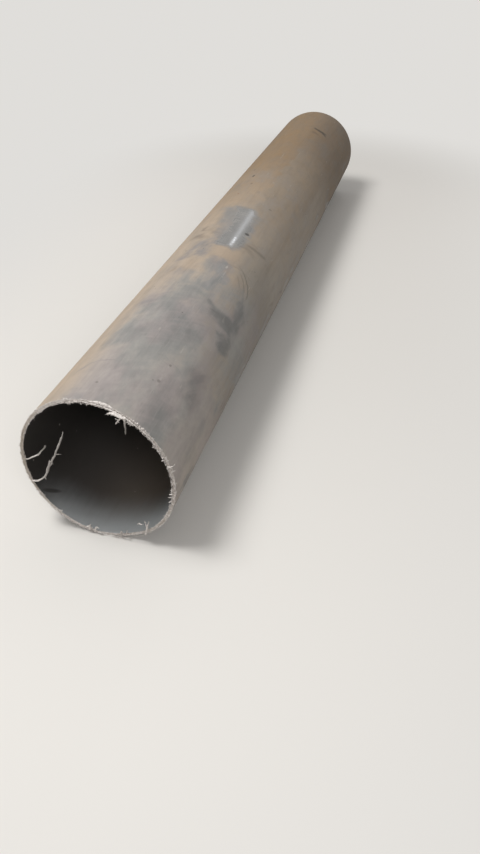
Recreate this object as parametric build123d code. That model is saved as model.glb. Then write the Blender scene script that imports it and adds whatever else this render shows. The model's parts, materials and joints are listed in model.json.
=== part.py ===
"""A cut length of grey PVC-U pipe, lying on its side on a level floor.

The pipe is one extruded piece: a plain round tube with a smooth bore, with no socket and no chamfer.
One end, the mouth, was sawn by hand, so its face is a few degrees out of square seen from above.
The other end was cut square. Everything is in millimetres.

The pipe runs along Y and rests on the floor at Z = 0. The origin is on the floor, midway between
the two ends. The mouth faces -Y and the square end faces +Y.
"""

import math
import os

from build123d import *

# Section, as this size of pipe is sold
outside_diameter = 160.0
wall_thickness = 3.2

# Length along the axis, from the middle of the mouth to the square end
axis_length = 1158.0

# How far the saw ran out of square at the mouth, in degrees seen from above
saw_skew_angle = 3.1

# What follows from the sizes above
outside_radius = outside_diameter / 2
bore_radius = outside_radius - wall_thickness
axis_height = outside_radius
skew_reach = outside_radius * math.tan(math.radians(saw_skew_angle))
overall_length = axis_length + skew_reach
square_end_y = overall_length / 2
mouth_y = square_end_y - axis_length


def extruded_tube():
    """The round tube as extruded, from the square end to the longest side of the mouth."""
    end_plane = Plane(origin=(0, square_end_y, axis_height), x_dir=(1, 0, 0), z_dir=(0, -1, 0))
    ring = Circle(outside_radius) - Circle(bore_radius)
    return extrude(end_plane * ring, amount=overall_length)


def sawn_at_mouth(tube):
    """The tube cut through by the skewed saw, keeping the side towards the square end."""
    skew = math.radians(saw_skew_angle)
    saw_plane = Plane(
        origin=(0, mouth_y, axis_height),
        x_dir=(math.cos(skew), -math.sin(skew), 0),
        z_dir=(math.sin(skew), math.cos(skew), 0),
    )
    return split(tube, bisect_by=saw_plane, keep=Keep.TOP)


pipe = sawn_at_mouth(extruded_tube())

os.makedirs("parts", exist_ok=True)
export_step(pipe, "parts/pipe.step")
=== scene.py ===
"""The looks of a cut length of grey PVC-U pipe that has lain about in a yard.

The pipe is dusty, rubbed clean in places, and roughly sawn at its mouth, which faces -Y. It lies
along Y on a floor at Z = 0. Everything is in metres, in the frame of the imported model, and the
pipe's own sizes are read from that model's record.
"""

import json
import math

import bpy
from mathutils import Matrix, Vector, noise


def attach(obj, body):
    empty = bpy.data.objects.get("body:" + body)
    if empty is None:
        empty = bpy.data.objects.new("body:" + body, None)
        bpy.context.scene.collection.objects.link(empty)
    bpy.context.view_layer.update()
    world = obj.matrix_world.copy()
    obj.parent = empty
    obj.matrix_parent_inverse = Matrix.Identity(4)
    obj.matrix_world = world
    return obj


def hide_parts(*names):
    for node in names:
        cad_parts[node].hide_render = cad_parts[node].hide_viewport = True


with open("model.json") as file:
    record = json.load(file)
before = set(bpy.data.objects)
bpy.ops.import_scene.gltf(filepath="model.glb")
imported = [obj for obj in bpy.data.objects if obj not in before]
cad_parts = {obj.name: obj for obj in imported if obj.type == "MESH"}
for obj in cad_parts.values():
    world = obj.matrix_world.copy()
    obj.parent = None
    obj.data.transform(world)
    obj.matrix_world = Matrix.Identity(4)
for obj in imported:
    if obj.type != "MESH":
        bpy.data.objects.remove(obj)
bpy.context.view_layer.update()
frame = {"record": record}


# The pipe wall: one extruded length of grey PVC-U, round, smooth and thin.
# The far end was cut square at the works. The mouth was cut by hand, turning the pipe between
# strokes, so the saw's line wanders, goes in deeper low on the right, and leaves chipped edges.

mounts = {mount["name"]: mount for mount in frame["record"]["mounts"]}
outside_radius = mounts["mouth_spigot"]["dims"]["r_mm"] / 1000
bore_radius = mounts["bore"]["dims"]["r_mm"] / 1000
wall_thickness = outside_radius - bore_radius
axis_height = mounts["bore"]["pos_m"][2]
square_end_y = mounts["square_end_face"]["pos_m"][1]
mouth_y = mounts["mouth_face"]["pos_m"][1]
mouth_out = Vector(mounts["mouth_face"]["axis"])
mouth_centre = Vector((0, mouth_y, axis_height))

columns = 900
face_steps = 6
first_spacing = 0.0004
widest_spacing = 0.05
spacing_growth = 1.35
saw_wander = 0.00045
saw_roughness = 0.00032
late_cut_depth = 0.0028
late_cut_angle = -70
late_cut_spread = 22
edge_chip = 0.0009
chip_reach = 0.0012
wall_waviness = 0.00012
wave_pace = 7
wave_fade_in = 0.05
sharp_edge_angle = 40


def round_noise(angle, pace, seed, octaves=3):
    """Noise from about -1 to 1 that meets itself after a full turn round the pipe."""
    place = Vector((math.cos(angle) * pace, math.sin(angle) * pace, seed))
    return noise.fractal(place, 1.0, 2.0, octaves)


def sawn_y(angle, radius):
    """How far along Y the saw left the face, at an angle round the pipe and a radius."""
    skewed = mouth_y - mouth_out.x / mouth_out.y * radius * math.cos(angle)
    wander = saw_wander * (1 + round_noise(angle, 1.6, 4.0))
    rough = saw_roughness * (1 + round_noise(angle, 60.0, radius * 900, 2))
    off = (math.degrees(angle) - late_cut_angle + 180) % 360 - 180
    deeper = late_cut_depth * math.exp(-(off / late_cut_spread) ** 2)
    return skewed + wander + rough + deeper


def wall_point(part, angle, radius, share):
    """A point of one part of the wall, a share of the way from the mouth to the square end."""
    near = sawn_y(angle, radius)
    from_mouth = share * (square_end_y - near)
    into_wall = {"outside": -1, "bore": 1}.get(part, 0)
    chip = max(0.0, round_noise(angle, 38.0, radius * 300) + 0.1) * edge_chip
    chip *= max(0.0, 1 - from_mouth / chip_reach)
    wave = wall_waviness * (1 - round_noise(angle, 2.0, from_mouth * wave_pace, 2))
    wave *= min(1.0, from_mouth / wave_fade_in)
    real_radius = radius + into_wall * (chip + wave)
    return (
        real_radius * math.cos(angle),
        near + from_mouth,
        axis_height + real_radius * math.sin(angle),
    )


def shares_from_mouth(length):
    """Where the rings of the mesh go: close together at the sawn edge, wider down the pipe."""
    places = [0.0]
    spacing = first_spacing
    while places[-1] + 1.5 * spacing < length:
        places.append(places[-1] + spacing)
        spacing = min(spacing * spacing_growth, widest_spacing)
    places.append(length)
    return [place / length for place in places]


# The section as a closed run of rings: along the outside to the mouth, across the sawn face,
# down the bore and across the square end.
shares = shares_from_mouth(square_end_y - mouth_y)
face_radii = [outside_radius - wall_thickness * step / face_steps for step in range(1, face_steps)]
rings = [("outside", outside_radius, share) for share in reversed(shares)]
rings += [("sawn", radius, 0.0) for radius in face_radii]
rings += [("bore", bore_radius, share) for share in shares]
rings += [("square", radius, 1.0) for radius in reversed(face_radii)]

# The seam of the UV map lies along the bottom, where the first column of points is.
turns = [column / columns for column in range(columns)]
wall_points = [
    wall_point(part, 2 * math.pi * turn - math.pi / 2, radius, share)
    for part, radius, share in rings
    for turn in turns
]
wall_faces = []
face_parts = []
for this in range(len(rings)):
    after = (this + 1) % len(rings)
    parts = {rings[this][0], rings[after][0]}
    part = next(name for name in ("sawn", "square", "outside", "bore") if name in parts)
    for column in range(columns):
        beside = (column + 1) % columns
        corners = ((this, column), (this, beside), (after, beside), (after, column))
        wall_faces.append([ring * columns + at for ring, at in corners])
        face_parts.append(part)

wall_mesh = bpy.data.meshes.new("pipe_wall")
wall_mesh.from_pydata(wall_points, [], wall_faces)

# The UV map has the outside and the bore side by side as flat sheets, and the ends as thin strips.
# Each entry is a material's slot, and the left and right side of its sheet.
sheets = {
    "outside": (0, 0.005, 0.580),
    "sawn": (1, 0.965, 0.977),
    "bore": (2, 0.590, 0.955),
    "square": (3, 0.984, 0.996),
}
sheet_foot = 0.005
sheet_height = 0.99
wall_uv = wall_mesh.uv_layers.new(name="OFBake").data
for face, part in zip(wall_mesh.polygons, face_parts):
    slot, left, right = sheets[part]
    face.material_index = slot
    this, column = divmod(face.index, columns)
    for loop, (ring_step, column_step) in zip(face.loop_indices, ((0, 0), (0, 1), (1, 1), (1, 0))):
        radius, share = rings[(this + ring_step) % len(rings)][1:]
        turn = (column + column_step) / columns
        through_wall = (outside_radius - radius) / wall_thickness
        across, up = (turn, share) if part in ("outside", "bore") else (through_wall, turn)
        wall_uv[loop].uv = (left + (right - left) * across, sheet_foot + sheet_height * up)

wall_mesh.shade_smooth()
wall_mesh.set_sharp_from_angle(angle=math.radians(sharp_edge_angle))
pipe_wall = bpy.data.objects.new("pipe_wall", wall_mesh)
bpy.context.scene.collection.objects.link(pipe_wall)


class Value:
    """One output of a node. Plain arithmetic on it adds the Math nodes that work it out."""

    def __init__(self, graph, socket):
        self.graph = graph
        self.socket = socket

    def maths(self, operation, *others):
        return self.graph.maths(operation, self, *others)

    def __add__(self, other):
        return self.maths("ADD", other)

    __radd__ = __add__

    def __sub__(self, other):
        return self.maths("SUBTRACT", other)

    def __rsub__(self, other):
        return self.graph.maths("SUBTRACT", other, self)

    def __mul__(self, other):
        return self.maths("MULTIPLY", other)

    __rmul__ = __mul__

    def __truediv__(self, other):
        return self.maths("DIVIDE", other)

    def __rtruediv__(self, other):
        return self.graph.maths("DIVIDE", other, self)

    def ramp(self, start, end):
        """0 at start and 1 at end, eased at both."""
        settings = {"interpolation_type": "SMOOTHSTEP"}
        return self.graph.node("ShaderNodeMapRange", settings, {0: self, 1: start, 2: end})


class Graph:
    """A tree of nodes being built, for a material or for geometry."""

    def __init__(self, tree):
        self.tree = tree
        tree.nodes.clear()

    def node(self, kind, settings=None, inputs=None, output=0):
        """Adds a node, gives it its settings, then a value or a link for each socket named."""
        made = self.tree.nodes.new(kind)
        for name, value in (settings or {}).items():
            setattr(made, name, value)
        for name, value in (inputs or {}).items():
            if isinstance(value, Value):
                self.tree.links.new(value.socket, made.inputs[name])
            else:
                made.inputs[name].default_value = value
        return Value(self, made.outputs[output]) if len(made.outputs) else None

    def maths(self, operation, *numbers):
        """A Math node on plain numbers or links."""
        return self.node("ShaderNodeMath", {"operation": operation}, dict(enumerate(numbers)))

    def parts(self, vector):
        """The x, y and z of a vector, or the red, green and blue of a colour."""
        split = self.node("ShaderNodeSeparateXYZ", inputs={0: vector}).socket.node
        return [Value(self, socket) for socket in split.outputs]

    def joined(self, x, y, z):
        """A vector made of its x, y and z."""
        return self.node("ShaderNodeCombineXYZ", inputs={0: x, 1: y, 2: z})

    def blend(self, mask, first, second):
        """The first colour where the mask is 0 and the second where it is 1."""
        inputs = {0: mask, 6: colour(first), 7: colour(second)}
        return self.node("ShaderNodeMix", {"data_type": "RGBA"}, inputs, output=2)

    def noise(self, place, scale, detail=3.0, roughness=0.5, output=0):
        """Noise from 0 to 1 over a place, with one scale or one for each axis."""
        if isinstance(scale, tuple):
            place = self.node("ShaderNodeMapping", inputs={"Vector": place, "Scale": scale})
            scale = 1.0
        inputs = {"Vector": place, "Scale": scale, "Detail": detail, "Roughness": roughness}
        return self.node("ShaderNodeTexNoise", inputs=inputs, output=output)


def colour(value):
    """A link as it is, or a red, green and blue with full alpha."""
    return value if isinstance(value, Value) else (*value, 1.0)


def new_finish(name):
    """An empty material and the graph that will fill it."""
    material = bpy.data.materials.new(name)
    material.use_nodes = True
    return material, Graph(material.node_tree)


def plastic_shader(graph, base, roughness, relief, strength=0.6, shine=0.5):
    """Rigid PVC: a plain dielectric. The relief is a height in metres.

    The strength is how much of the relief shows. The shine is how strongly the surface reflects,
    where 0.5 is usual and less is duller.
    """
    bump = graph.node("ShaderNodeBump", inputs={
        "Height": relief,
        "Distance": 1.0,
        "Strength": strength,
    })
    shader = graph.node("ShaderNodeBsdfPrincipled", inputs={
        "Base Color": base,
        "Roughness": roughness,
        "Normal": bump,
        "IOR": 1.5,
        "Specular IOR Level": shine,
    })
    graph.node("ShaderNodeOutputMaterial", inputs={"Surface": shader})


# The outside's finish: grey plastic under a film of dust, thicker on the left, which is beige at
# the mouth, tan down the middle and brown at the far end. Hands and other pipes have rubbed it.
# A place on the surface is in millimetres: along from the mouth, and round from the crown, where
# the right side is positive.

clean_plastic = (0.200, 0.198, 0.194)
scuffed_plastic = (0.28, 0.275, 0.268)
thin_rosy_dust = (0.445, 0.382, 0.372)
thin_warm_dust = (0.40, 0.35, 0.31)
thin_grey_dust = (0.405, 0.398, 0.38)
beige_dust = (0.47, 0.42, 0.375)
rosy_dust = (0.43, 0.385, 0.37)
tan_dust = (0.50, 0.405, 0.315)
piled_dust = (0.42, 0.335, 0.26)
dust_and_painted_shade = (0.31, 0.275, 0.23)
brown_dust = (0.32, 0.218, 0.125)
deep_brown_dust_and_shade = (0.16, 0.118, 0.08)
dull_brown_tone = (0.335, 0.268, 0.20)
dark_dirt = (0.05, 0.045, 0.04)
red_dirt = (0.26, 0.12, 0.08)
pale_scratch_and_bounce = (0.52, 0.49, 0.45)

dusty_outside, graph = new_finish("dusty_outside")
place = graph.node("ShaderNodeTexCoord", output="Object")
x, y, z = graph.parts(place)
along = (y - mouth_y) * 1000
across = x.maths("ARCTAN2", z - axis_height) * outside_radius * 1000
upward = (z - axis_height) / outside_radius
leftward = x / -outside_radius

broad = graph.noise(place, 7.0, detail=4.0, roughness=0.55)
mottle = graph.noise(place, (48.0, 20.0, 48.0), detail=6.0, roughness=0.65)
blotches = graph.noise(place, (26.0, 12.0, 26.0), detail=3.0)
fine_streaks = graph.noise(place, (420.0, 9.0, 420.0), detail=3.0, roughness=0.65)
wisps = graph.noise(place, (110.0, 10.0, 110.0), detail=5.0, roughness=0.65)
smudges = graph.noise(place, (95.0, 60.0, 95.0), detail=4.0, roughness=0.6)
swirls = graph.noise(place, (55.0, 24.0, 55.0), detail=2.0)
grain = graph.noise(place, 900.0, detail=2.0, roughness=0.7)
drift = graph.parts(graph.noise(place, 30.0, detail=3.0, roughness=0.5, output=1))
smeared = graph.joined(along + (drift[0] - 0.5) * 44, across + (drift[1] - 0.5) * 26, 1.0)
surface = graph.joined(along, across, 0.0)
streak_length = 45.0
streak_width = 6.5


def wiped(heading, soft, *corners):
    """1 inside a patch of surface with straight sides, streaked one way, and 0 outside it.

    The heading is in degrees: 0 streaks it along the pipe and 90 round it. Soft is how far its
    edges fade. The corners are places on the surface, each along and across, and the patch bulges
    nowhere inwards.
    """
    streaked = graph.node("ShaderNodeMapping", {"vector_type": "TEXTURE"}, {
        "Vector": surface,
        "Location": (0.0, 0.0, -corners[0][0]),
        "Rotation": (0.0, 0.0, math.radians(heading)),
        "Scale": (streak_length, streak_width, 1.0),
    })
    streaks = graph.noise(streaked, 1.0, detail=1.5, roughness=0.5)
    inside = None
    for (along_0, across_0), (along_1, across_1) in zip(corners, corners[1:] + corners[:1]):
        length = math.dist((along_0, across_0), (along_1, across_1))
        by_along = (across_0 - across_1) / length
        by_across = (along_1 - along_0) / length
        side = (by_along, by_across, -by_along * along_0 - by_across * across_0)
        settings = {"operation": "DOT_PRODUCT"}
        past_side = graph.node("ShaderNodeVectorMath", settings, {0: smeared, 1: side}, output="Value")
        inside = inside.maths("MINIMUM", past_side) if inside else past_side
    ragged = (streaks - 0.5) * (soft * 1.5) + (swirls - 0.5) * (soft * 3)
    return (inside + ragged).ramp(soft * -2.2, soft * 2.2) * (streaks.ramp(0.2, 0.6) * 0.3 + 0.7)


def wiped_arc(along_0, across_0, radius, width, first, last):
    """1 on a thin arc between two directions in degrees, where 0 points along and 90 points right."""
    lengthwise = along - along_0
    crosswise = across - across_0
    reach = (lengthwise * lengthwise + crosswise * crosswise).maths("SQRT")
    off = (reach + (mottle - 0.5) * width * 5 - radius).maths("ABSOLUTE")
    direction = crosswise.maths("ARCTAN2", lengthwise) * math.degrees(1)
    half = (last - first) / 2
    within = (direction - (first + half)).maths("ABSOLUTE").ramp(half, half * 0.4)
    return off.ramp(width, 0.0) * within * mottle.ramp(0.3, 0.55)


def spot(along_0, across_0, half_length, half_width):
    """1 on a small oval spot and 0 off it."""
    lengthwise = (along - along_0) / half_length
    crosswise = (across - across_0) / half_width
    return (lengthwise * lengthwise + crosswise * crosswise + grain).ramp(1.8, 0.9)


def strongest(masks):
    """All the masks laid over each other, each at its strength."""
    total = None
    for strength, mask in masks:
        total = total.maths("MAXIMUM", mask * strength) if total else mask * strength
    return total


# Where the dust is thinner: the glossy patch on top, then the marks down the pipe from it, the dull
# marks on the right, and last the broad part towards the mouth that many hands have held.
glossy_wipe = wiped(96, 3.5, (532, 0), (534, 24), (440, 36), (394, 36), (382, 28), (391, 4))
glossy_side = wiped(135, 5.0, (528, -20), (534, 8), (396, 10), (402, 2))
glossy_foot = wiped(0, 1.5, (426, 19), (426, 27), (393, 27), (393, 19))
glossy_strip = wiped(2, 3.0, (350, 25), (348, 39), (300, 42), (264, 38), (264, 26))
dull_wipes = strongest([
    (0.90, wiped(8, 3.5, (302, 72), (276, 88), (228, 92), (240, 72))),
    (0.90, wiped(80, 5.0, (246, 44), (250, 88), (215, 90), (213, 48))),
    (0.85, wiped(40, 3.5, (207, 64), (217, 92), (186, 92), (180, 78))),
    (0.50, wiped(25, 5.0, (112, 66), (132, 82), (120, 90), (70, 90), (74, 70))),
])
rubbed = strongest([
    (0.94, glossy_wipe),
    (0.60, glossy_side),
    (0.95, glossy_foot),
    (0.72, glossy_strip),
    (0.38, wiped(2, 4.0, (350, 12), (350, 28), (258, 28), (262, 14))),
    (1.00, dull_wipes),
    (0.48, wiped(20, 3.5, (412, -8), (410, -2), (336, -22), (334, -29))),
    (0.48, wiped(18, 3.5, (408, 1), (404, 8), (350, -5), (350, -12))),
    (0.35, wiped(16, 3.0, (384, 2), (382, 8), (344, -2), (346, -8))),
    (0.46, wiped(0, 6.0, (305, -14), (290, 3), (170, 6), (170, -14))),
    (0.50, wiped(65, 11.0, (268, -6), (262, 40), (160, 66), (104, 34), (128, -26), (214, -24))),
    (0.55, wiped(30, 6.0, (174, -27), (160, 3), (106, 3), (106, -30))),
    (0.65, wiped(60, 9.0, (205, 10), (200, 66), (152, 60), (148, 10))),
    (0.50, wiped(0, 6.0, (96, -3), (96, 10), (-9, 13), (-9, -4))),
    (0.50, wiped(80, 5.0, (14, -22), (15, 0), (-9, 0), (-9, -24))),
    (0.50, wiped(60, 8.0, (56, 46), (50, 78), (-9, 76), (-9, 44))),
    (0.50, wiped_arc(52, 30, 55, 3.0, -50, 60)),
    (0.45, wiped_arc(52, 30, 47, 2.5, -45, 50)),
    (0.40, wiped_arc(40, -6, 36, 3.0, -80, 30)),
    (0.34, wiped(50, 12.0, (0, 6), (60, -12), (170, -26), (250, 0), (310, 60), (310, 125), (0, 125))),
])

# The sides that the camera doesn't see get rubs and smears of the same kind, placed by noise.
out_of_sight = upward.ramp(0.3, -0.2).maths("MAXIMUM", leftward.ramp(0.75, 0.96))
stray_rubs = graph.noise(smeared, (0.011, 0.034, 1.0), detail=4.0, roughness=0.6)
stray_dirt = graph.noise(smeared, (0.016, 0.060, 2.0), detail=5.0, roughness=0.65)
rubbed = rubbed.maths("MAXIMUM", stray_rubs.ramp(0.53, 0.63) * out_of_sight * 0.75)

# Where dirt was smeared over the dust, and where dust was pushed up into a thicker layer.
smeared_dirt = strongest([
    (0.35, stray_dirt.ramp(0.55, 0.66) * out_of_sight),
    (0.11, wiped(80, 5.0, (530, -20), (530, 14), (506, 12), (508, -22))),
    (0.15, wiped(60, 6.0, (214, 42), (214, 70), (184, 70), (186, 42))),
    (0.11, wiped(60, 6.0, (132, 40), (132, 58), (102, 58), (102, 42))),
    (0.42, wiped(75, 3.5, (420, 40), (434, 66), (428, 70), (412, 44))),
    (0.28, wiped(80, 4.0, (410, 40), (408, 58), (398, 58), (400, 40))),
    (0.30, wiped(85, 3.0, (440, 44), (439, 54), (433, 54), (434, 44))),
    (0.55, wiped(20, 2.5, (457, -31), (457, -26), (444, -21), (444, -26))),
    (0.28, wiped(20, 4.0, (442, -20), (442, -12), (426, -4), (424, -12))),
    (0.40, wiped(60, 4.5, (420, -38), (424, -22), (412, -18), (407, -34))),
    (0.28, wiped(20, 3.0, (313, -30), (313, -24), (300, -20), (300, -26))),
    (0.85, wiped(85, 2.0, (1033, 15), (1029, 48), (1017, 50), (1021, 17))),
    (0.35, wiped(80, 2.0, (1000, 22), (998, 35), (992, 35), (993, 22))),
    (0.45, wiped_arc(307, 25, 53, 2.2, 10, 100)),
    (0.35, wiped_arc(307, 25, 46, 2.0, 30, 95)),
    (0.25, wiped_arc(307, 25, 38, 2.5, 40, 90)),
    (0.22, wiped_arc(290, 60, 60, 2.2, -60, 20)),
])
piled = strongest([
    (0.85, wiped(70, 7.0, (390, 8), (390, 38), (352, 42), (350, 6))),
    (0.70, wiped(40, 7.0, (330, -16), (328, 8), (302, 6), (304, -18))),
    (0.60, wiped(10, 5.0, (186, 90), (184, 106), (122, 104), (126, 92))),
    (0.55, wiped(0, 8.0, (335, 36), (332, 70), (254, 70), (258, 34))),
    (0.90, wiped(0, 1.5, (346, 35), (346, 39), (329, 41), (329, 36))),
    (0.60, wiped_arc(436, -4, 70, 1.5, -20, 15)),
])

# How far dust covers the plastic, from 0 to 1: more on top and on the left, less where it is rubbed.
cover = upward.ramp(-1.1, 0.2) * 0.42 + leftward * 0.11 + 0.42
cover = cover + (broad - 0.5) * 0.3 + (mottle - 0.5) * 0.9 + piled * 0.3
# Low on the right near the mouth the dust is made thicker, and so paler: painted bounced light.
cover = cover + across.ramp(60, 95) * along.ramp(240, 90) * 0.25
thin_lines = (graph.noise(place, (70.0, 2.5, 70.0), detail=2.0) - 0.5).maths("ABSOLUTE")
scratches = thin_lines.ramp(0.006, 0.001) * smudges.ramp(0.48, 0.6)
cover = cover - rubbed + rubbed * ((swirls - 0.5) * 1.6 + (mottle - 0.5) * 0.6)
cover = graph.node("ShaderNodeClamp", inputs={0: cover})

# The dust's colour, which changes down the pipe along a wavering line, and is duller and darker on
# the right and at the far end, partly as painted shade. Where it lies thin, more of the grey shows in
# it.
spread_along = along + (broad - 0.5) * 260
dust = graph.blend(blotches.ramp(0.35, 0.65) * 0.8, beige_dust, rosy_dust)
tan_part = spread_along.ramp(120, 380).maths("MAXIMUM", leftward.ramp(0.05, 0.6))
dust = graph.blend(tan_part, dust, tan_dust)
dust = graph.blend(spread_along.ramp(310, 880), dust, brown_dust)
# Down the right half, from 200 to 980 mm, the colour turns a duller, darker brown.
right_half = (across + (drift[0] - 0.5) * 30 - 19).ramp(-2, 4)
dull_side = right_half * spread_along.ramp(200, 600) * spread_along.ramp(980, 800)
dust = graph.blend(dull_side * 0.8, dust, dull_brown_tone)
# At the far end the dust turns deep brown, most on the right: partly brown dust and partly painted
# shade.
far_dust_and_shade = across.ramp(0, 60).maths("MAXIMUM", leftward.ramp(0.4, 0.75) * 0.5)
dust = graph.blend(far_dust_and_shade * spread_along.ramp(740, 960) * 0.6, dust, deep_brown_dust_and_shade)
# Low on the right, from 60 to 560 mm, the dust is darker: partly darker dust and partly painted shade.
right_dust_and_shade = leftward.ramp(-0.3, -0.8) * along.ramp(60, 240) * along.ramp(560, 330)
dust = graph.blend(right_dust_and_shade, dust, dust_and_painted_shade)
dust = graph.blend(piled, dust, piled_dust)
dust = graph.blend(fine_streaks.ramp(0.35, 0.75) * 0.12, dust, clean_plastic)
scuffs = fine_streaks.ramp(0.3, 0.7) * 0.3 + mottle.ramp(0.4, 0.65) * 0.45
plastic = graph.blend(scuffs, clean_plastic, scuffed_plastic)
thin_dust = graph.blend(blotches.ramp(0.4, 0.6), thin_grey_dust, thin_rosy_dust)
thin_dust = graph.blend(spread_along.ramp(220, 420) * 0.7, thin_dust, thin_warm_dust)
dust = graph.blend(cover.ramp(0.3, 0.88).maths("MAXIMUM", spread_along.ramp(480, 760)), thin_dust, dust)
outside_colour = graph.blend(cover, plastic, dust)

# Over the dust: pale scratches and a pale band low on the right that is painted bounced light, then
# dark grime.
near_painted_bounce = along.ramp(350, 240) * across.ramp(116, 100) * 0.2
middle_painted_bounce = along.ramp(330, 420) * along.ramp(900, 740) * 0.24
painted_bounce_light = across.ramp(82, 98) * near_painted_bounce.maths("MAXIMUM", middle_painted_bounce)
pale_marks = (scratches * 0.3).maths("MAXIMUM", spot(336, 36, 4.0, 1.5) * 0.6)
outside_colour = graph.blend(pale_marks.maths("MAXIMUM", painted_bounce_light), outside_colour, pale_scratch_and_bounce)
grime = wisps.ramp(0.42, 0.72) * 0.1 + smudges.ramp(0.45, 0.72) * 0.07
grime = smeared_dirt.maths("MAXIMUM", dull_wipes * 0.5).maths("MAXIMUM", grime)
outside_colour = graph.blend(grime, outside_colour, dark_dirt)

# Specks and chips that can be picked out one by one, then fine ones scattered all over.
dark_spots = strongest([
    (1.00, spot(447, 33, 3.5, 3.5)),
    (0.35, spot(98, 46, 2.0, 1.5)),
    (0.35, spot(67, 45, 2.5, 2.0)),
    (0.40, spot(32, -4, 1.5, 1.5)),
    (0.80, spot(693, -20, 6.0, 2.0)),
    (0.40, spot(735, -29, 4.0, 1.5)),
    (0.35, spot(648, -12, 4.0, 2.0)),
    (0.30, spot(560, 40, 3.0, 3.0)),
])
speckled = {"Vector": place, "Scale": 85.0, "Randomness": 1.0}
scattered = graph.node("ShaderNodeTexVoronoi", inputs=speckled)
scattered = scattered.ramp(0.11, 0.05) * graph.noise(place, 31.0, detail=1.0).ramp(0.58, 0.68) * 0.6
outside_colour = graph.blend(dark_spots.maths("MAXIMUM", scattered), outside_colour, dark_dirt)
outside_colour = graph.blend(spot(600, -21, 3.0, 1.5) * 0.6, outside_colour, red_dirt)

# The wiped plastic is smoother than the dust, and takes the line of light from the strip lamp.
polish = glossy_wipe.ramp(0.2, 0.75).maths("MAXIMUM", glossy_strip.ramp(0.2, 0.9) * 0.6)
polish = polish * cover.ramp(0.45, 0.1) * 0.65
polish = polish.maths("MAXIMUM", glossy_foot.ramp(0.3, 0.7))
outside_roughness = cover.ramp(0.0, 0.5) * 0.34 + 0.42 - polish * 0.26
outside_relief = (grain * cover * 0.00006 + fine_streaks * 0.00002) * (1 - polish)
plastic_shader(graph, outside_colour, outside_roughness, outside_relief, shine=0.3)


# The finish of the sawn face: PVC whitened where the teeth tore it, with the teeth's lines
# across it, dirt rubbed into it, mostly on the right, and tan dust on the left.

torn_plastic = (0.84, 0.795, 0.765)
dirty_cut = (0.45, 0.40, 0.36)
tan_cut = (0.34, 0.28, 0.21)

sawn_face, graph = new_finish("sawn_face")
place = graph.node("ShaderNodeTexCoord", output="Object")
x, y, z = graph.parts(place)
tooth_lines = graph.noise(place, (420.0, 60.0, 560.0), detail=3.0, roughness=0.7)
dirt = graph.noise(place, 260.0, detail=4.0, roughness=0.75) + x / outside_radius * 0.08 - 0.05
cut_colour = graph.blend(dirt.ramp(0.44, 0.58) * 0.85, torn_plastic, dirty_cut)
cut_colour = graph.blend(tooth_lines.ramp(0.44, 0.58) * 0.6, cut_colour, dirty_cut)
cut_colour = graph.blend((x / outside_radius).ramp(-0.5, -0.95) * 0.6, cut_colour, tan_cut)
plastic_shader(graph, cut_colour, tooth_lines * 0.2 + 0.6, tooth_lines * 0.0006, 0.9)


# The finish of the bore: the same grey plastic, smooth from the die, under a dark brown film that
# is thickest on the left and above, and paler on the right. The film is partly grime and partly
# painted shade, darkest where the light doesn't reach, and its paler right side is painted bounced
# light. Low down at the mouth, where the light falls, there is none: the bore is dulled pale by saw
# dust there, with one painted shadow on the left.

bore_plastic = (0.315, 0.33, 0.338)
left_film_and_shade = (0.062, 0.055, 0.050)
right_film_and_bounce = (0.21, 0.175, 0.145)
thick_film_and_shade = (0.025, 0.0215, 0.019)
pale_fleck = (0.40, 0.38, 0.35)
shadow_along = 15
shadow_across = -171
shadow_half_length = 18
shadow_half_width = 3.5

filmed_bore, graph = new_finish("filmed_bore")
place = graph.node("ShaderNodeTexCoord", output="Object")
x, y, z = graph.parts(place)
along = (y - mouth_y) * 1000
high_left = ((z - axis_height) * 0.8 - x * 0.6) / bore_radius
die_lines = graph.noise(place, (300.0, 3.0, 300.0), detail=3.0, roughness=0.6)
clouds = graph.noise(place, (22.0, 14.0, 22.0), detail=4.0, roughness=0.6)
# Deeper in, and above on the left, the film is partly grime and partly painted shade.
inward = (along - x * 250 + (clouds - 0.5) * 24 + (die_lines - 0.5) * 6).ramp(3, 66)
above = (high_left + (clouds - 0.5) * 0.3).ramp(-0.42, 0.38)
film = inward.maths("MAXIMUM", above)
# The paler film on the right is painted bounced light, the darker film on the left partly painted
# shade.
thin_film_and_shade = graph.blend((x / bore_radius).ramp(-0.7, 0.5), left_film_and_shade, right_film_and_bounce)
bore_colour = graph.blend(inward, bore_plastic, thin_film_and_shade)
bore_colour = graph.blend(above, bore_colour, thick_film_and_shade)
across = x.maths("ARCTAN2", z - axis_height) * bore_radius * 1000
# A painted shadow: a dark oval low on the left, just inside the mouth.
shadow_length = (along - across - (shadow_along - shadow_across)) / shadow_half_length
shadow_width = (along + across - (shadow_along + shadow_across)) / shadow_half_width
bore_shadow = (shadow_length * shadow_length + shadow_width * shadow_width + clouds).ramp(1.9, 0.7)
bore_colour = graph.blend(bore_shadow * 0.75, bore_colour, thick_film_and_shade)
flecks = graph.node("ShaderNodeTexVoronoi", inputs={"Vector": place, "Scale": 70.0, "Randomness": 1.0})
flecks = flecks.ramp(0.10, 0.05) * graph.noise(place, 26.0, detail=1.0).ramp(0.55, 0.62)
bore_colour = graph.blend(flecks * along.ramp(260, 60), bore_colour, pale_fleck)
plastic_shader(graph, bore_colour, film * 0.3 + 0.5, die_lines * 0.00008)


# The finish of the square end: cut clean at the works, then dulled with brown dust. The photograph
# shows only the outline of this end, so its finish is a guess.

dull_cut = (0.30, 0.30, 0.30)

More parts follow.
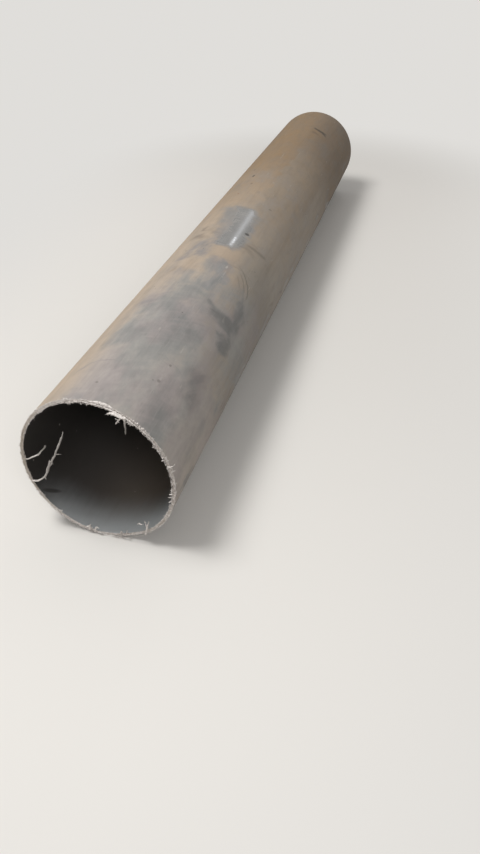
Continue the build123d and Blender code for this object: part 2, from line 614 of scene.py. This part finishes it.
dusty_end, graph = new_finish("dusty_end")
place = graph.node("ShaderNodeTexCoord", output="Object")
end_dust = graph.noise(place, 45.0, detail=4.0, roughness=0.6).ramp(0.3, 0.65)
blade_lines = graph.noise(place, (1600.0, 40.0, 120.0), detail=2.0)
end_colour = graph.blend(end_dust, dull_cut, brown_dust)
plastic_shader(graph, end_colour, end_dust * 0.2 + 0.6, blade_lines * 0.0001)

for finish in (dusty_outside, sawn_face, filmed_bore, dusty_end):
    wall_mesh.materials.append(finish)
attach(pipe_wall, "root")
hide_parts("pipe")


# Swarf: strands and tags of plastic that the saw dragged out and left hanging on the rim. Each is a
# ragged ribbon that starts at the cut or at another strand, but for the zigzag, which stands clear.
# Points are in millimetres across, up and out from the mouth's middle, then the ribbon's width.

swarf_strands = {
    "long curl": (
        (-73.5, -27.5, 0, 1.5), (-70, -25.5, 1.5, 2.5), (-66, -25, 2.5, 3), (-62, -22.5, 2.5, 3),
        (-58.5, -19.5, 2.5, 2.5), (-55.5, -16.5, 2.5, 3), (-52.5, -12, 2.5, 3), (-49.5, -4, 2.5, 3.5),
        (-48, 0.5, 2.5, 3), (-47.5, 4, 2.5, 1.5),
    ),
    "curl beyond the kink": (
        (-47.5, -1.5, 1.5, 1.5), (-46, 2.5, 1.5, 2.5), (-44.5, 5.5, 2, 2.5), (-40.5, 12.5, 2, 3),
        (-36.5, 21.5, 2, 3), (-33.5, 27.5, 2, 2.5), (-31, 32.5, 2, 2.5), (-28.5, 40, 1.5, 1),
    ),
    "hook under the curl": ((-56.5, -17, 2.5, 1.5), (-55, -18, 2.5, 1.5), (-55, -20, 3, 0.5)),
    "knot at the kink": ((-46.5, 3.5, 2, 1), (-45, 2.5, 2, 2), (-44, 1.5, 2.5, 0.5)),
    "barb on the curl": ((-40, 14, 2, 1.5), (-37, 14, 2.5, 1), (-33.5, 15, 2.5, 0.5)),
    "upper curl": (
        (-77.5, -1.5, 0, 2), (-75, -1, 1, 2), (-71.5, 0, 0.5, 1.5), (-68.5, 2, 0, 2),
        (-64.5, 3.5, -1, 2), (-61.5, 5.5, -2, 2.5), (-58, 9.5, -4, 2.5), (-54.5, 14.5, -6, 3),
    ),
    "spur on the upper curl": ((-76, -1, 0.5, 1.5), (-74.5, 1, 1, 1.5), (-74.5, 3, 1, 0.5)),
    "hanging strand": (
        (34.5, 68, -1, 2.5), (34, 62, -2.5, 2), (33.5, 56.5, -3.5, 2), (33, 52, -4, 1.5),
        (33, 48, -4, 1),
    ),
    "flap": (
        (37, 69, 0.5, 2.5), (33.5, 70, 1, 4), (30, 71, 1, 4.5), (27, 72.5, 1.5, 4.5), (23, 73, 1, 3.5),
        (20.5, 72, 1, 2), (18, 70, 1, 0.5),
    ),
    "flap's torn corner": ((26.5, 72, 1.5, 2.5), (24, 70.5, 1, 1.5), (23.5, 69.5, 1, 0.5)),
    "forked tag": (
        (34, 70, 0.5, 2.5), (31.5, 68.5, 1, 2.5), (31, 66.5, 1.5, 2), (29.5, 65, 1.5, 2),
        (28, 63, 1, 2.5), (27.5, 62, 1, 1),
    ),
    "tag's side spur": ((31, 67, 1.5, 1.5), (29, 66.5, 1, 1.5), (27, 67.5, 1, 0.5)),
    "right burr": ((74, 22, 0.5, 1.5), (74, 24.5, 1, 1.5), (76.5, 25, 1, 1.5), (78.5, 23, 0.5, 0.5)),
    "outer spike": ((77, 25, 0, 1.5), (79, 26.5, 0.5, 1), (80.5, 28, 0.5, 0.5)),
    "outer spike's twin": ((78, 20.5, 0, 1.5), (79.5, 21, 0.5, 1), (81.5, 22.5, 0.5, 0.5)),
    "right barb": ((76.5, -6.5, 0, 1.5), (75, -7, 1, 1.5), (74, -7.5, 1, 0.5)),
    "second right barb": ((76, -10.5, 0, 1.5), (74.5, -11, 1, 1.5), (73, -11.5, 1, 0.5)),
    "lower right barb": ((75.5, -14.5, 0, 1.5), (74.5, -16, 1, 1.5), (73, -17, 1, 0.5)),
    "lower left barb": (
        (-54.5, -57, 0, 1.5), (-51.5, -58, 1, 1.5), (-47, -59, 1, 1.5), (-43.5, -57.5, 1, 0.5),
    ),
    "bottom tuft": ((-16.5, -76.5, 0, 3), (-15.5, -72, 0.5, 4), (-13.5, -68, 1, 1)),
    "bottom tuft's skirt": ((-19.5, -73, 0.5, 1), (-16, -71.5, 1, 3.5), (-13, -73, 0.5, 1)),
    "bottom loop": (
        (-10.5, -77.5, -0.5, 2.5), (-9.5, -73, 0.5, 2), (-7, -70, 1, 2), (-5, -71, 1, 1),
    ),
    "bottom crumb": ((-7, -76, 0, 1.5), (-4.5, -76, 0.5, 3), (-2.5, -77, 0, 1)),
    "low hook": (
        (16, -79, -2.5, 2), (17, -75, -2, 2.5), (18, -70.5, -1.5, 1.5), (19.5, -72, -1.5, 1.5),
        (20.5, -75.5, -2, 1.5),
    ),
    "low stub": ((23.5, -73, -2, 1.5), (24.5, -68, -1.5, 0.5)),
    "standing hair": ((45, -67, -1.5, 3), (47, -60, -0.5, 3), (48.5, -53, 0.5, 2.5), (51, -47, 1, 1)),
    "standing hair's fork": ((47.5, -56, 0, 1.5), (46.5, -51, 1, 1.5), (46.5, -47.5, 1, 0.5)),
    "zigzag": ((44.5, -52, 1, 0.5), (42, -53.5, 1, 2), (40, -51, 1, 1.5), (38, -53.5, 1, 1)),
}

mouth_right = Vector((0, 0, 1)).cross(mouth_out)


def at_mouth(across, up, out):
    """A point given in millimetres across, up and out from the middle of the sawn face."""
    return mouth_centre + (mouth_right * across + Vector((0, 0, up)) + mouth_out * out) / 1000


def swarf_curve(name, strands):
    """A curve object with one spline for each strand, whose point radius is half the ribbon's width."""
    curve = bpy.data.curves.new(name, "CURVE")
    curve.dimensions = "3D"
    for points in strands:
        spline = curve.splines.new("NURBS")
        spline.points.add(len(points) - 1)
        for point, (across, up, out, width) in zip(spline.points, points):
            point.co = (*at_mouth(across, up, out), 1.0)
            point.radius = width / 2000
        spline.use_endpoint_u = True
        spline.order_u = 3
    made = bpy.data.objects.new(name, curve)
    bpy.context.scene.collection.objects.link(made)
    return made


def new_geometry_tree(name, inputs):
    """An empty Geometry Nodes tree, with the graph that will fill it and its inputs by name."""
    tree = bpy.data.node_groups.new(name, "GeometryNodeTree")
    tree.interface.new_socket("Geometry", in_out="INPUT", socket_type="NodeSocketGeometry")
    tree.interface.new_socket("Geometry", in_out="OUTPUT", socket_type="NodeSocketGeometry")
    for label, (kind, value) in inputs.items():
        socket = tree.interface.new_socket(label, in_out="INPUT", socket_type=kind)
        if value is not None:
            socket.default_value = value
    graph = Graph(tree)
    start = graph.node("NodeGroupInput").socket.node
    named = {socket.name: Value(graph, socket) for socket in start.outputs if socket.name}
    return tree, graph, named


def chance(graph, low, high, seed):
    """A random number between two others, a new one for each point or instance."""
    settings = {"data_type": "FLOAT"}
    return graph.node("FunctionNodeRandomValue", settings, {2: low, 3: high, "Seed": seed}, output=1)


def torn_flakes(graph, points, least, most, seed):
    """A bent flake of plastic at each point, turned at random, most of them small."""
    flake = graph.node("GeometryNodeMeshCone", inputs={
        "Vertices": 5,
        "Side Segments": 2,
        "Radius Top": 0.08,
        "Radius Bottom": 0.34,
        "Depth": 1.0,
    })
    luck = chance(graph, 0.0, 1.0, seed)
    size = least + luck * luck * (most - least)
    turned = graph.node("FunctionNodeEulerToRotation", inputs={
        0: graph.joined(*(chance(graph, -math.pi, math.pi, seed + step) for step in (1, 2, 3))),
    })
    thin = chance(graph, 0.25, 0.6, seed + 4)
    wide = chance(graph, 0.6, 1.2, seed + 5)
    return graph.node("GeometryNodeInstanceOnPoints", inputs={
        "Points": points,
        "Instance": flake,
        "Rotation": turned,
        "Scale": graph.joined(size * wide, size * thin, size),
    })


def ruffled(graph, geometry, scale, amount):
    """The geometry with every point pushed about by noise, and none left below the floor."""
    position = graph.node("GeometryNodeInputPosition")
    push = graph.noise(position, scale, detail=2.0, output=1)
    push = graph.node("ShaderNodeVectorMath", {"operation": "SUBTRACT"}, {0: push, 1: (0.5, 0.5, 0.5)})
    push = graph.node("ShaderNodeVectorMath", {"operation": "SCALE"}, {0: push, "Scale": amount})
    pushed = graph.node("ShaderNodeVectorMath", {"operation": "ADD"}, {0: position, 1: push})
    x, y, z = graph.parts(pushed)
    settled = graph.joined(x, y, z.maths("MAXIMUM", 0.0))
    return graph.node("GeometryNodeSetPosition", inputs={"Geometry": geometry, "Position": settled})


def finish_tree(graph, geometry, material):
    """Ends a geometry tree: instances made real, then the finish put on."""
    geometry = graph.node("GeometryNodeRealizeInstances", inputs={0: geometry})
    inputs = {"Geometry": geometry, "Material": material}
    geometry = graph.node("GeometryNodeSetMaterial", inputs=inputs)
    graph.node("NodeGroupOutput", inputs={0: geometry})


def made_by_tree(name, source, tree, values):
    """Runs a geometry tree on a source object and keeps the result as a plain mesh piece."""
    modifier = source.modifiers.new("shape", "NODES")
    modifier.node_group = tree
    items = tree.interface.items_tree
    identifiers = {item.name: item.identifier for item in items if item.in_out == "INPUT"}
    for label, value in values.items():
        modifier[identifiers[label]] = value
    evaluated = source.evaluated_get(bpy.context.evaluated_depsgraph_get())
    mesh = bpy.data.meshes.new_from_object(evaluated)
    source.modifiers.remove(modifier)
    bpy.data.objects.remove(source)
    mesh.name = name
    mesh.shade_smooth()
    piece = bpy.data.objects.new(name, mesh)
    bpy.context.scene.collection.objects.link(piece)
    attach(piece, "root")


# The finish of everything torn: pale, dull plastic with darker grey in its folds. It is darkened with
# painted shade where it hangs inside the bore and towards the middle, and is dusted tan at the far
# left of the rim.
fresh_tear = (0.81, 0.765, 0.735)
dark_fold = (0.40, 0.37, 0.345)
tear_in_painted_shade = (0.18, 0.168, 0.15)

torn_swarf, graph = new_finish("torn_swarf")
place = graph.node("ShaderNodeTexCoord", output="Object")
x, y, z = graph.parts(place)
folds = graph.noise(place, 600.0, detail=3.0, roughness=0.6)
swarf_colour = graph.blend(folds.ramp(0.42, 0.66) * 0.7, fresh_tear, dark_fold)
behind_cut = (y - mouth_y) * -mouth_out.y - x * mouth_out.x
from_middle = (x * x + (z - axis_height) * (z - axis_height)).maths("SQRT")
# Painted shade: the swarf is darkened where it hangs inside the bore and towards the middle.
inside_bore_shade = behind_cut.ramp(0.0005, 0.0035) * from_middle.ramp(0.076, 0.070)
swarf_painted_shade = (inside_bore_shade * 0.85).maths("MAXIMUM", from_middle.ramp(0.074, 0.046) * 0.45)
swarf_colour = graph.blend(swarf_painted_shade, swarf_colour, tear_in_painted_shade)
swarf_colour = graph.blend((x / outside_radius).ramp(-0.85, -1.0) * 0.6, swarf_colour, tan_cut)
plastic_shader(graph, swarf_colour, folds * 0.3 + 0.45, folds * 0.0002, 0.7)

ribbon_tree, graph, given = new_geometry_tree("ragged_ribbon", {
    "Step": ("NodeSocketFloat", 0.0004),
    "Flatness": ("NodeSocketFloat", 0.35),
    "Kink": ("NodeSocketFloat", 0.0008),
    "Raggedness": ("NodeSocketFloat", 0.0004),
    "Barb Spacing": ("NodeSocketFloat", 0.002),
    "Barb Length": ("NodeSocketFloat", 0.002),
    "Seed": ("NodeSocketInt", 1),
    "Material": ("NodeSocketMaterial", None),
})
by_length = {"mode": "LENGTH"}
steps = {0: given["Geometry"], "Length": given["Step"]}
path = graph.node("GeometryNodeResampleCurve", by_length, steps)
outline = graph.node("GeometryNodeCurvePrimitiveCircle", inputs={"Resolution": 8, "Radius": 1.0})
outline = graph.node("GeometryNodeTransform", inputs={
    "Geometry": outline,
    "Scale": graph.joined(1.0, given["Flatness"], 1.0),
})
ribbon = graph.node("GeometryNodeCurveToMesh", inputs={
    "Curve": path,
    "Profile Curve": outline,
    "Scale": graph.node("GeometryNodeInputRadius"),
    "Fill Caps": True,
})
ribbon = ruffled(graph, ribbon, 1100.0, given["Raggedness"])
spacing = {0: given["Geometry"], "Length": given["Barb Spacing"]}
roots = graph.node("GeometryNodeCurveToPoints", by_length, spacing)
barbs = torn_flakes(graph, roots, given["Barb Length"] * 0.25, given["Barb Length"], given["Seed"])
both = graph.node("GeometryNodeJoinGeometry")
for part in (ribbon, graph.node("GeometryNodeRealizeInstances", inputs={0: barbs})):
    graph.tree.links.new(part.socket, both.socket.node.inputs[0])
kinked = ruffled(graph, both, 160.0, given["Kink"])
finish_tree(graph, kinked, given["Material"])

made_by_tree("swarf_strands", swarf_curve("swarf_paths", swarf_strands.values()), ribbon_tree, {
    "Step": 0.0004,
    "Flatness": 0.6,
    "Kink": 0.0022,
    "Raggedness": 0.0009,
    "Barb Spacing": 0.0016,
    "Barb Length": 0.0022,
    "Seed": 5,
    "Material": torn_swarf,
})


# The torn lip: where the saw broke through it rolled a thick ragged burr over the edge.
# It runs round the upper right of the mouth and thins out at both ends. Just right of the crown
# a second burr is folded back over the outside.

lip_start = 100
lip_end = 36
lip_widest = 74
lip_step = 2
lip_outset = 1.5
lip_forward = 0.1
lip_least_width = 0.3
lip_points = []
for degrees in range(lip_start, lip_end - 1, -lip_step):
    angle = math.radians(degrees)
    span = (lip_start - lip_widest) if degrees > lip_widest else (lip_widest - lip_end)
    swell = 1 - ((degrees - lip_widest) / span) ** 2
    middle = bore_radius * 1000 + lip_outset + 0.4 * round_noise(angle, 9.0, 2.0)
    width = max(1.0 + 1.3 * swell + 0.6 * round_noise(angle, 16.0, 7.0), lip_least_width)
    lip_points.append((middle * math.cos(angle), middle * math.sin(angle), lip_forward, width))
folded_burr = (
    (2.5, 79.5, 0, 1.5), (8, 80, -1.5, 2.5), (14, 79, -2, 3), (20, 77.5, -2, 2.5),
    (25, 75.5, -0.5, 1.5),
)

made_by_tree("torn_lip", swarf_curve("lip_path", [lip_points, folded_burr]), ribbon_tree, {
    "Step": 0.0004,
    "Flatness": 0.5,
    "Kink": 0.001,
    "Raggedness": 0.002,
    "Barb Spacing": 0.0003,
    "Barb Length": 0.0024,
    "Seed": 9,
    "Material": torn_swarf,
})


# The fringe: crumbs and small flakes that the teeth left standing all round both edges. They are
# longest where the saw came through, and long and short ones come in clumps. They lie on the flat
# plane of the cut, so low on the right, where the saw went deeper, they stand clear of it.

fringe_tree, graph, given = new_geometry_tree("saw_fringe", {
    "Edge Radius": ("NodeSocketFloat", 0.08),
    "Spread": ("NodeSocketFloat", 0.0004),
    "Flakes": ("NodeSocketInt", 400),
    "Flake Length": ("NodeSocketFloat", 0.0015),
    "Longest Angle": ("NodeSocketFloat", 60.0),
    "Seed": ("NodeSocketInt", 1),
    "Material": ("NodeSocketMaterial", None),
})
angle = chance(graph, 0.0, 2 * math.pi, given["Seed"])
radius = given["Edge Radius"] + chance(graph, -1.0, 1.0, given["Seed"] + 1) * given["Spread"]
depth = chance(graph, -0.0002, 0.0007, given["Seed"] + 2)
on_rim = graph.joined(angle.maths("COSINE") * radius, depth, angle.maths("SINE") * radius)
points = graph.node("GeometryNodePoints", inputs={"Count": given["Flakes"], "Position": on_rim})

position = graph.node("GeometryNodeInputPosition")
x, y, z = graph.parts(position)
facing = math.radians(1) * given["Longest Angle"]
towards = (x * facing.maths("COSINE") + z * facing.maths("SINE")) / given["Edge Radius"]
clumps = graph.noise(position, 130.0, detail=2.0).ramp(0.35, 0.65)
longest = given["Flake Length"] * (towards.ramp(-0.2, 0.9) * 0.4 + 0.6) * (clumps * 0.8 + 0.4)
flakes = torn_flakes(graph, points, longest * 0.3, longest, given["Seed"] + 3)
skew = math.atan2(-mouth_out.x, -mouth_out.y)
flakes = graph.node("GeometryNodeTransform", inputs={
    "Geometry": graph.node("GeometryNodeRealizeInstances", inputs={0: flakes}),
    "Translation": tuple(mouth_centre),
    "Rotation": (0.0, 0.0, -skew),
})
finish_tree(graph, ruffled(graph, flakes, 600.0, given["Flake Length"] * 0.5), given["Material"])

fringes = {
    "inner_fringe": {
        "Edge Radius": bore_radius,
        "Spread": 0.0004,
        "Flakes": 2600,
        "Flake Length": 0.0026,
        "Seed": 3,
    },
    "outer_fringe": {
        "Edge Radius": outside_radius,
        "Spread": 0.0003,
        "Flakes": 2200,
        "Flake Length": 0.0026,
        "Seed": 31,
    },
    "face_crumbs": {
        "Edge Radius": (outside_radius + bore_radius) / 2,
        "Spread": 0.0014,
        "Flakes": 1200,
        "Flake Length": 0.0013,
        "Seed": 61,
    },
}
for name, values in fringes.items():
    empty_source = bpy.data.objects.new(name + "_source", bpy.data.meshes.new(name + "_source"))
    bpy.context.scene.collection.objects.link(empty_source)
    settings = {**values, "Longest Angle": 62.0, "Material": torn_swarf}
    made_by_tree(name, empty_source, fringe_tree, settings)


# The studio: a plain pale floor, a large soft lamp above the mouth and to the left, a weaker one
# in front, and a thin strip behind that draws a line of light along the wiped plastic.

floor_half = 9.0
floor_mesh = bpy.data.meshes.new("floor")
floor_mesh.from_pydata(
    [(side * floor_half, end * floor_half, 0) for side, end in ((-1, -1), (1, -1), (1, 1), (-1, 1))],
    [],
    [(0, 1, 2, 3)],
)
floor = bpy.data.objects.new("floor", floor_mesh)
bpy.context.scene.collection.objects.link(floor)

floor_near = (0.78, 0.765, 0.74)
floor_far = (0.93, 0.91, 0.88)
floor_bounce = (0.42, 0.40, 0.375)
backdrop_glow = (0.745, 0.73, 0.705)
world_light = (1.0, 0.98, 0.95)
world_strength = 0.30


def seen_directly(graph):
    """1 for rays that show the background: the camera's own, and those off gloss or through glass."""
    rays = graph.node("ShaderNodeLightPath").socket.node.outputs
    kinds = ("Is Camera Ray", "Is Glossy Ray", "Is Transmission Ray")
    camera, glossy, through = [Value(graph, rays[kind]) for kind in kinds]
    return camera.maths("MAXIMUM", glossy).maths("MAXIMUM", through)


# Near the pipe the floor is lit by the lamps, so it takes the shadow. Further off it keeps one
# even pale tone, because the lamps don't reach that far.
pale_floor, graph = new_finish("pale_floor")
place = graph.node("ShaderNodeTexCoord", output="Object")
x, y, z = graph.parts(place)
past_ends = (y.maths("ABSOLUTE") - square_end_y).maths("MAXIMUM", 0.0)
far_off = (x * x + past_ends * past_ends).maths("SQRT").ramp(0.18, 0.62)
floor_tone = graph.blend(y.ramp(-0.3, 0.7), floor_near, floor_far)
pale = graph.node("ShaderNodeBsdfDiffuse", inputs={"Color": floor_tone})
even = graph.node("ShaderNodeEmission", inputs={"Color": colour(backdrop_glow)})
shown = graph.node("ShaderNodeMixShader", inputs={0: far_off, 1: pale, 2: even})
dim = graph.node("ShaderNodeBsdfDiffuse", inputs={"Color": colour(floor_bounce)})
floor_shader = graph.node("ShaderNodeMixShader", inputs={0: seen_directly(graph), 1: dim, 2: shown})
graph.node("ShaderNodeOutputMaterial", inputs={"Surface": floor_shader})
floor_mesh.materials.append(pale_floor)

# The world gives the pipe a weak even light, and shows as the same pale tone as the far floor.
world = bpy.data.worlds.new("studio")
bpy.context.scene.world = world
world.use_nodes = True
graph = Graph(world.node_tree)
shown = graph.node("ShaderNodeBackground", inputs={"Color": colour(backdrop_glow)})
even_light = {"Color": colour(world_light), "Strength": world_strength}
lit = graph.node("ShaderNodeBackground", inputs=even_light)
both = graph.node("ShaderNodeMixShader", inputs={0: seen_directly(graph), 1: lit, 2: shown})
graph.node("ShaderNodeOutputWorld", inputs={"Surface": both})


def soft_lamp(name, place, target, size, power, tint, spin=0.0):
    """A rectangular lamp at a place, facing a target and spun about its own aim."""
    lamp_data = bpy.data.lights.new(name, "AREA")
    lamp_data.shape = "RECTANGLE"
    lamp_data.size, lamp_data.size_y = size
    lamp_data.energy = power
    lamp_data.color = tint
    lamp = bpy.data.objects.new(name, lamp_data)
    bpy.context.scene.collection.objects.link(lamp)
    aim = (Vector(place) - Vector(target)).to_track_quat("Z", "Y").to_matrix()
    turned = aim @ Matrix.Rotation(math.radians(spin), 3, "Z")
    lamp.matrix_world = Matrix.Translation(place) @ turned.to_4x4()


soft_lamp("overhead", (-0.75, -0.72, 2.0), (0, -0.3, 0.1), (0.9, 0.7), 31.0, (1.0, 0.985, 0.96))
soft_lamp("front", (0.95, -2.05, 1.25), (0, -0.5, 0.1), (0.8, 0.8), 13.0, (1.0, 0.99, 0.98))
soft_lamp(
    "back_strip",
    (0.01, 1.89, 1.15),
    (0.02, -0.11, 0.157),
    (0.42, 0.05),
    0.8,
    (0.90, 0.94, 1.0),
    spin=116.0,
)


# The camera stands where the photograph was taken from: above and to the right of the mouth,
# looking down the pipe. The lens gives the photograph's field of view on its long side.

focal_length = 31.87
sensor_length = 36.0
camera_to_right = 0.2732
camera_before_mouth = 0.507
camera_above_axis = 0.440
camera_looks_down = 34.73
camera_turned_left = 14.74

camera_data = bpy.data.cameras.new("camera")
camera_data.lens = focal_length
camera_data.sensor_width = sensor_length
camera = bpy.data.objects.new("camera", camera_data)
bpy.context.scene.collection.objects.link(camera)
camera.location = (
    camera_to_right,
    mouth_y - camera_before_mouth,
    axis_height + camera_above_axis,
)
camera.rotation_euler = (
    math.radians(90 - camera_looks_down),
    0.0,
    math.radians(camera_turned_left),
)
bpy.context.scene.camera = camera
bpy.context.scene.view_settings.view_transform = "Standard"

bpy.context.view_layer.update()
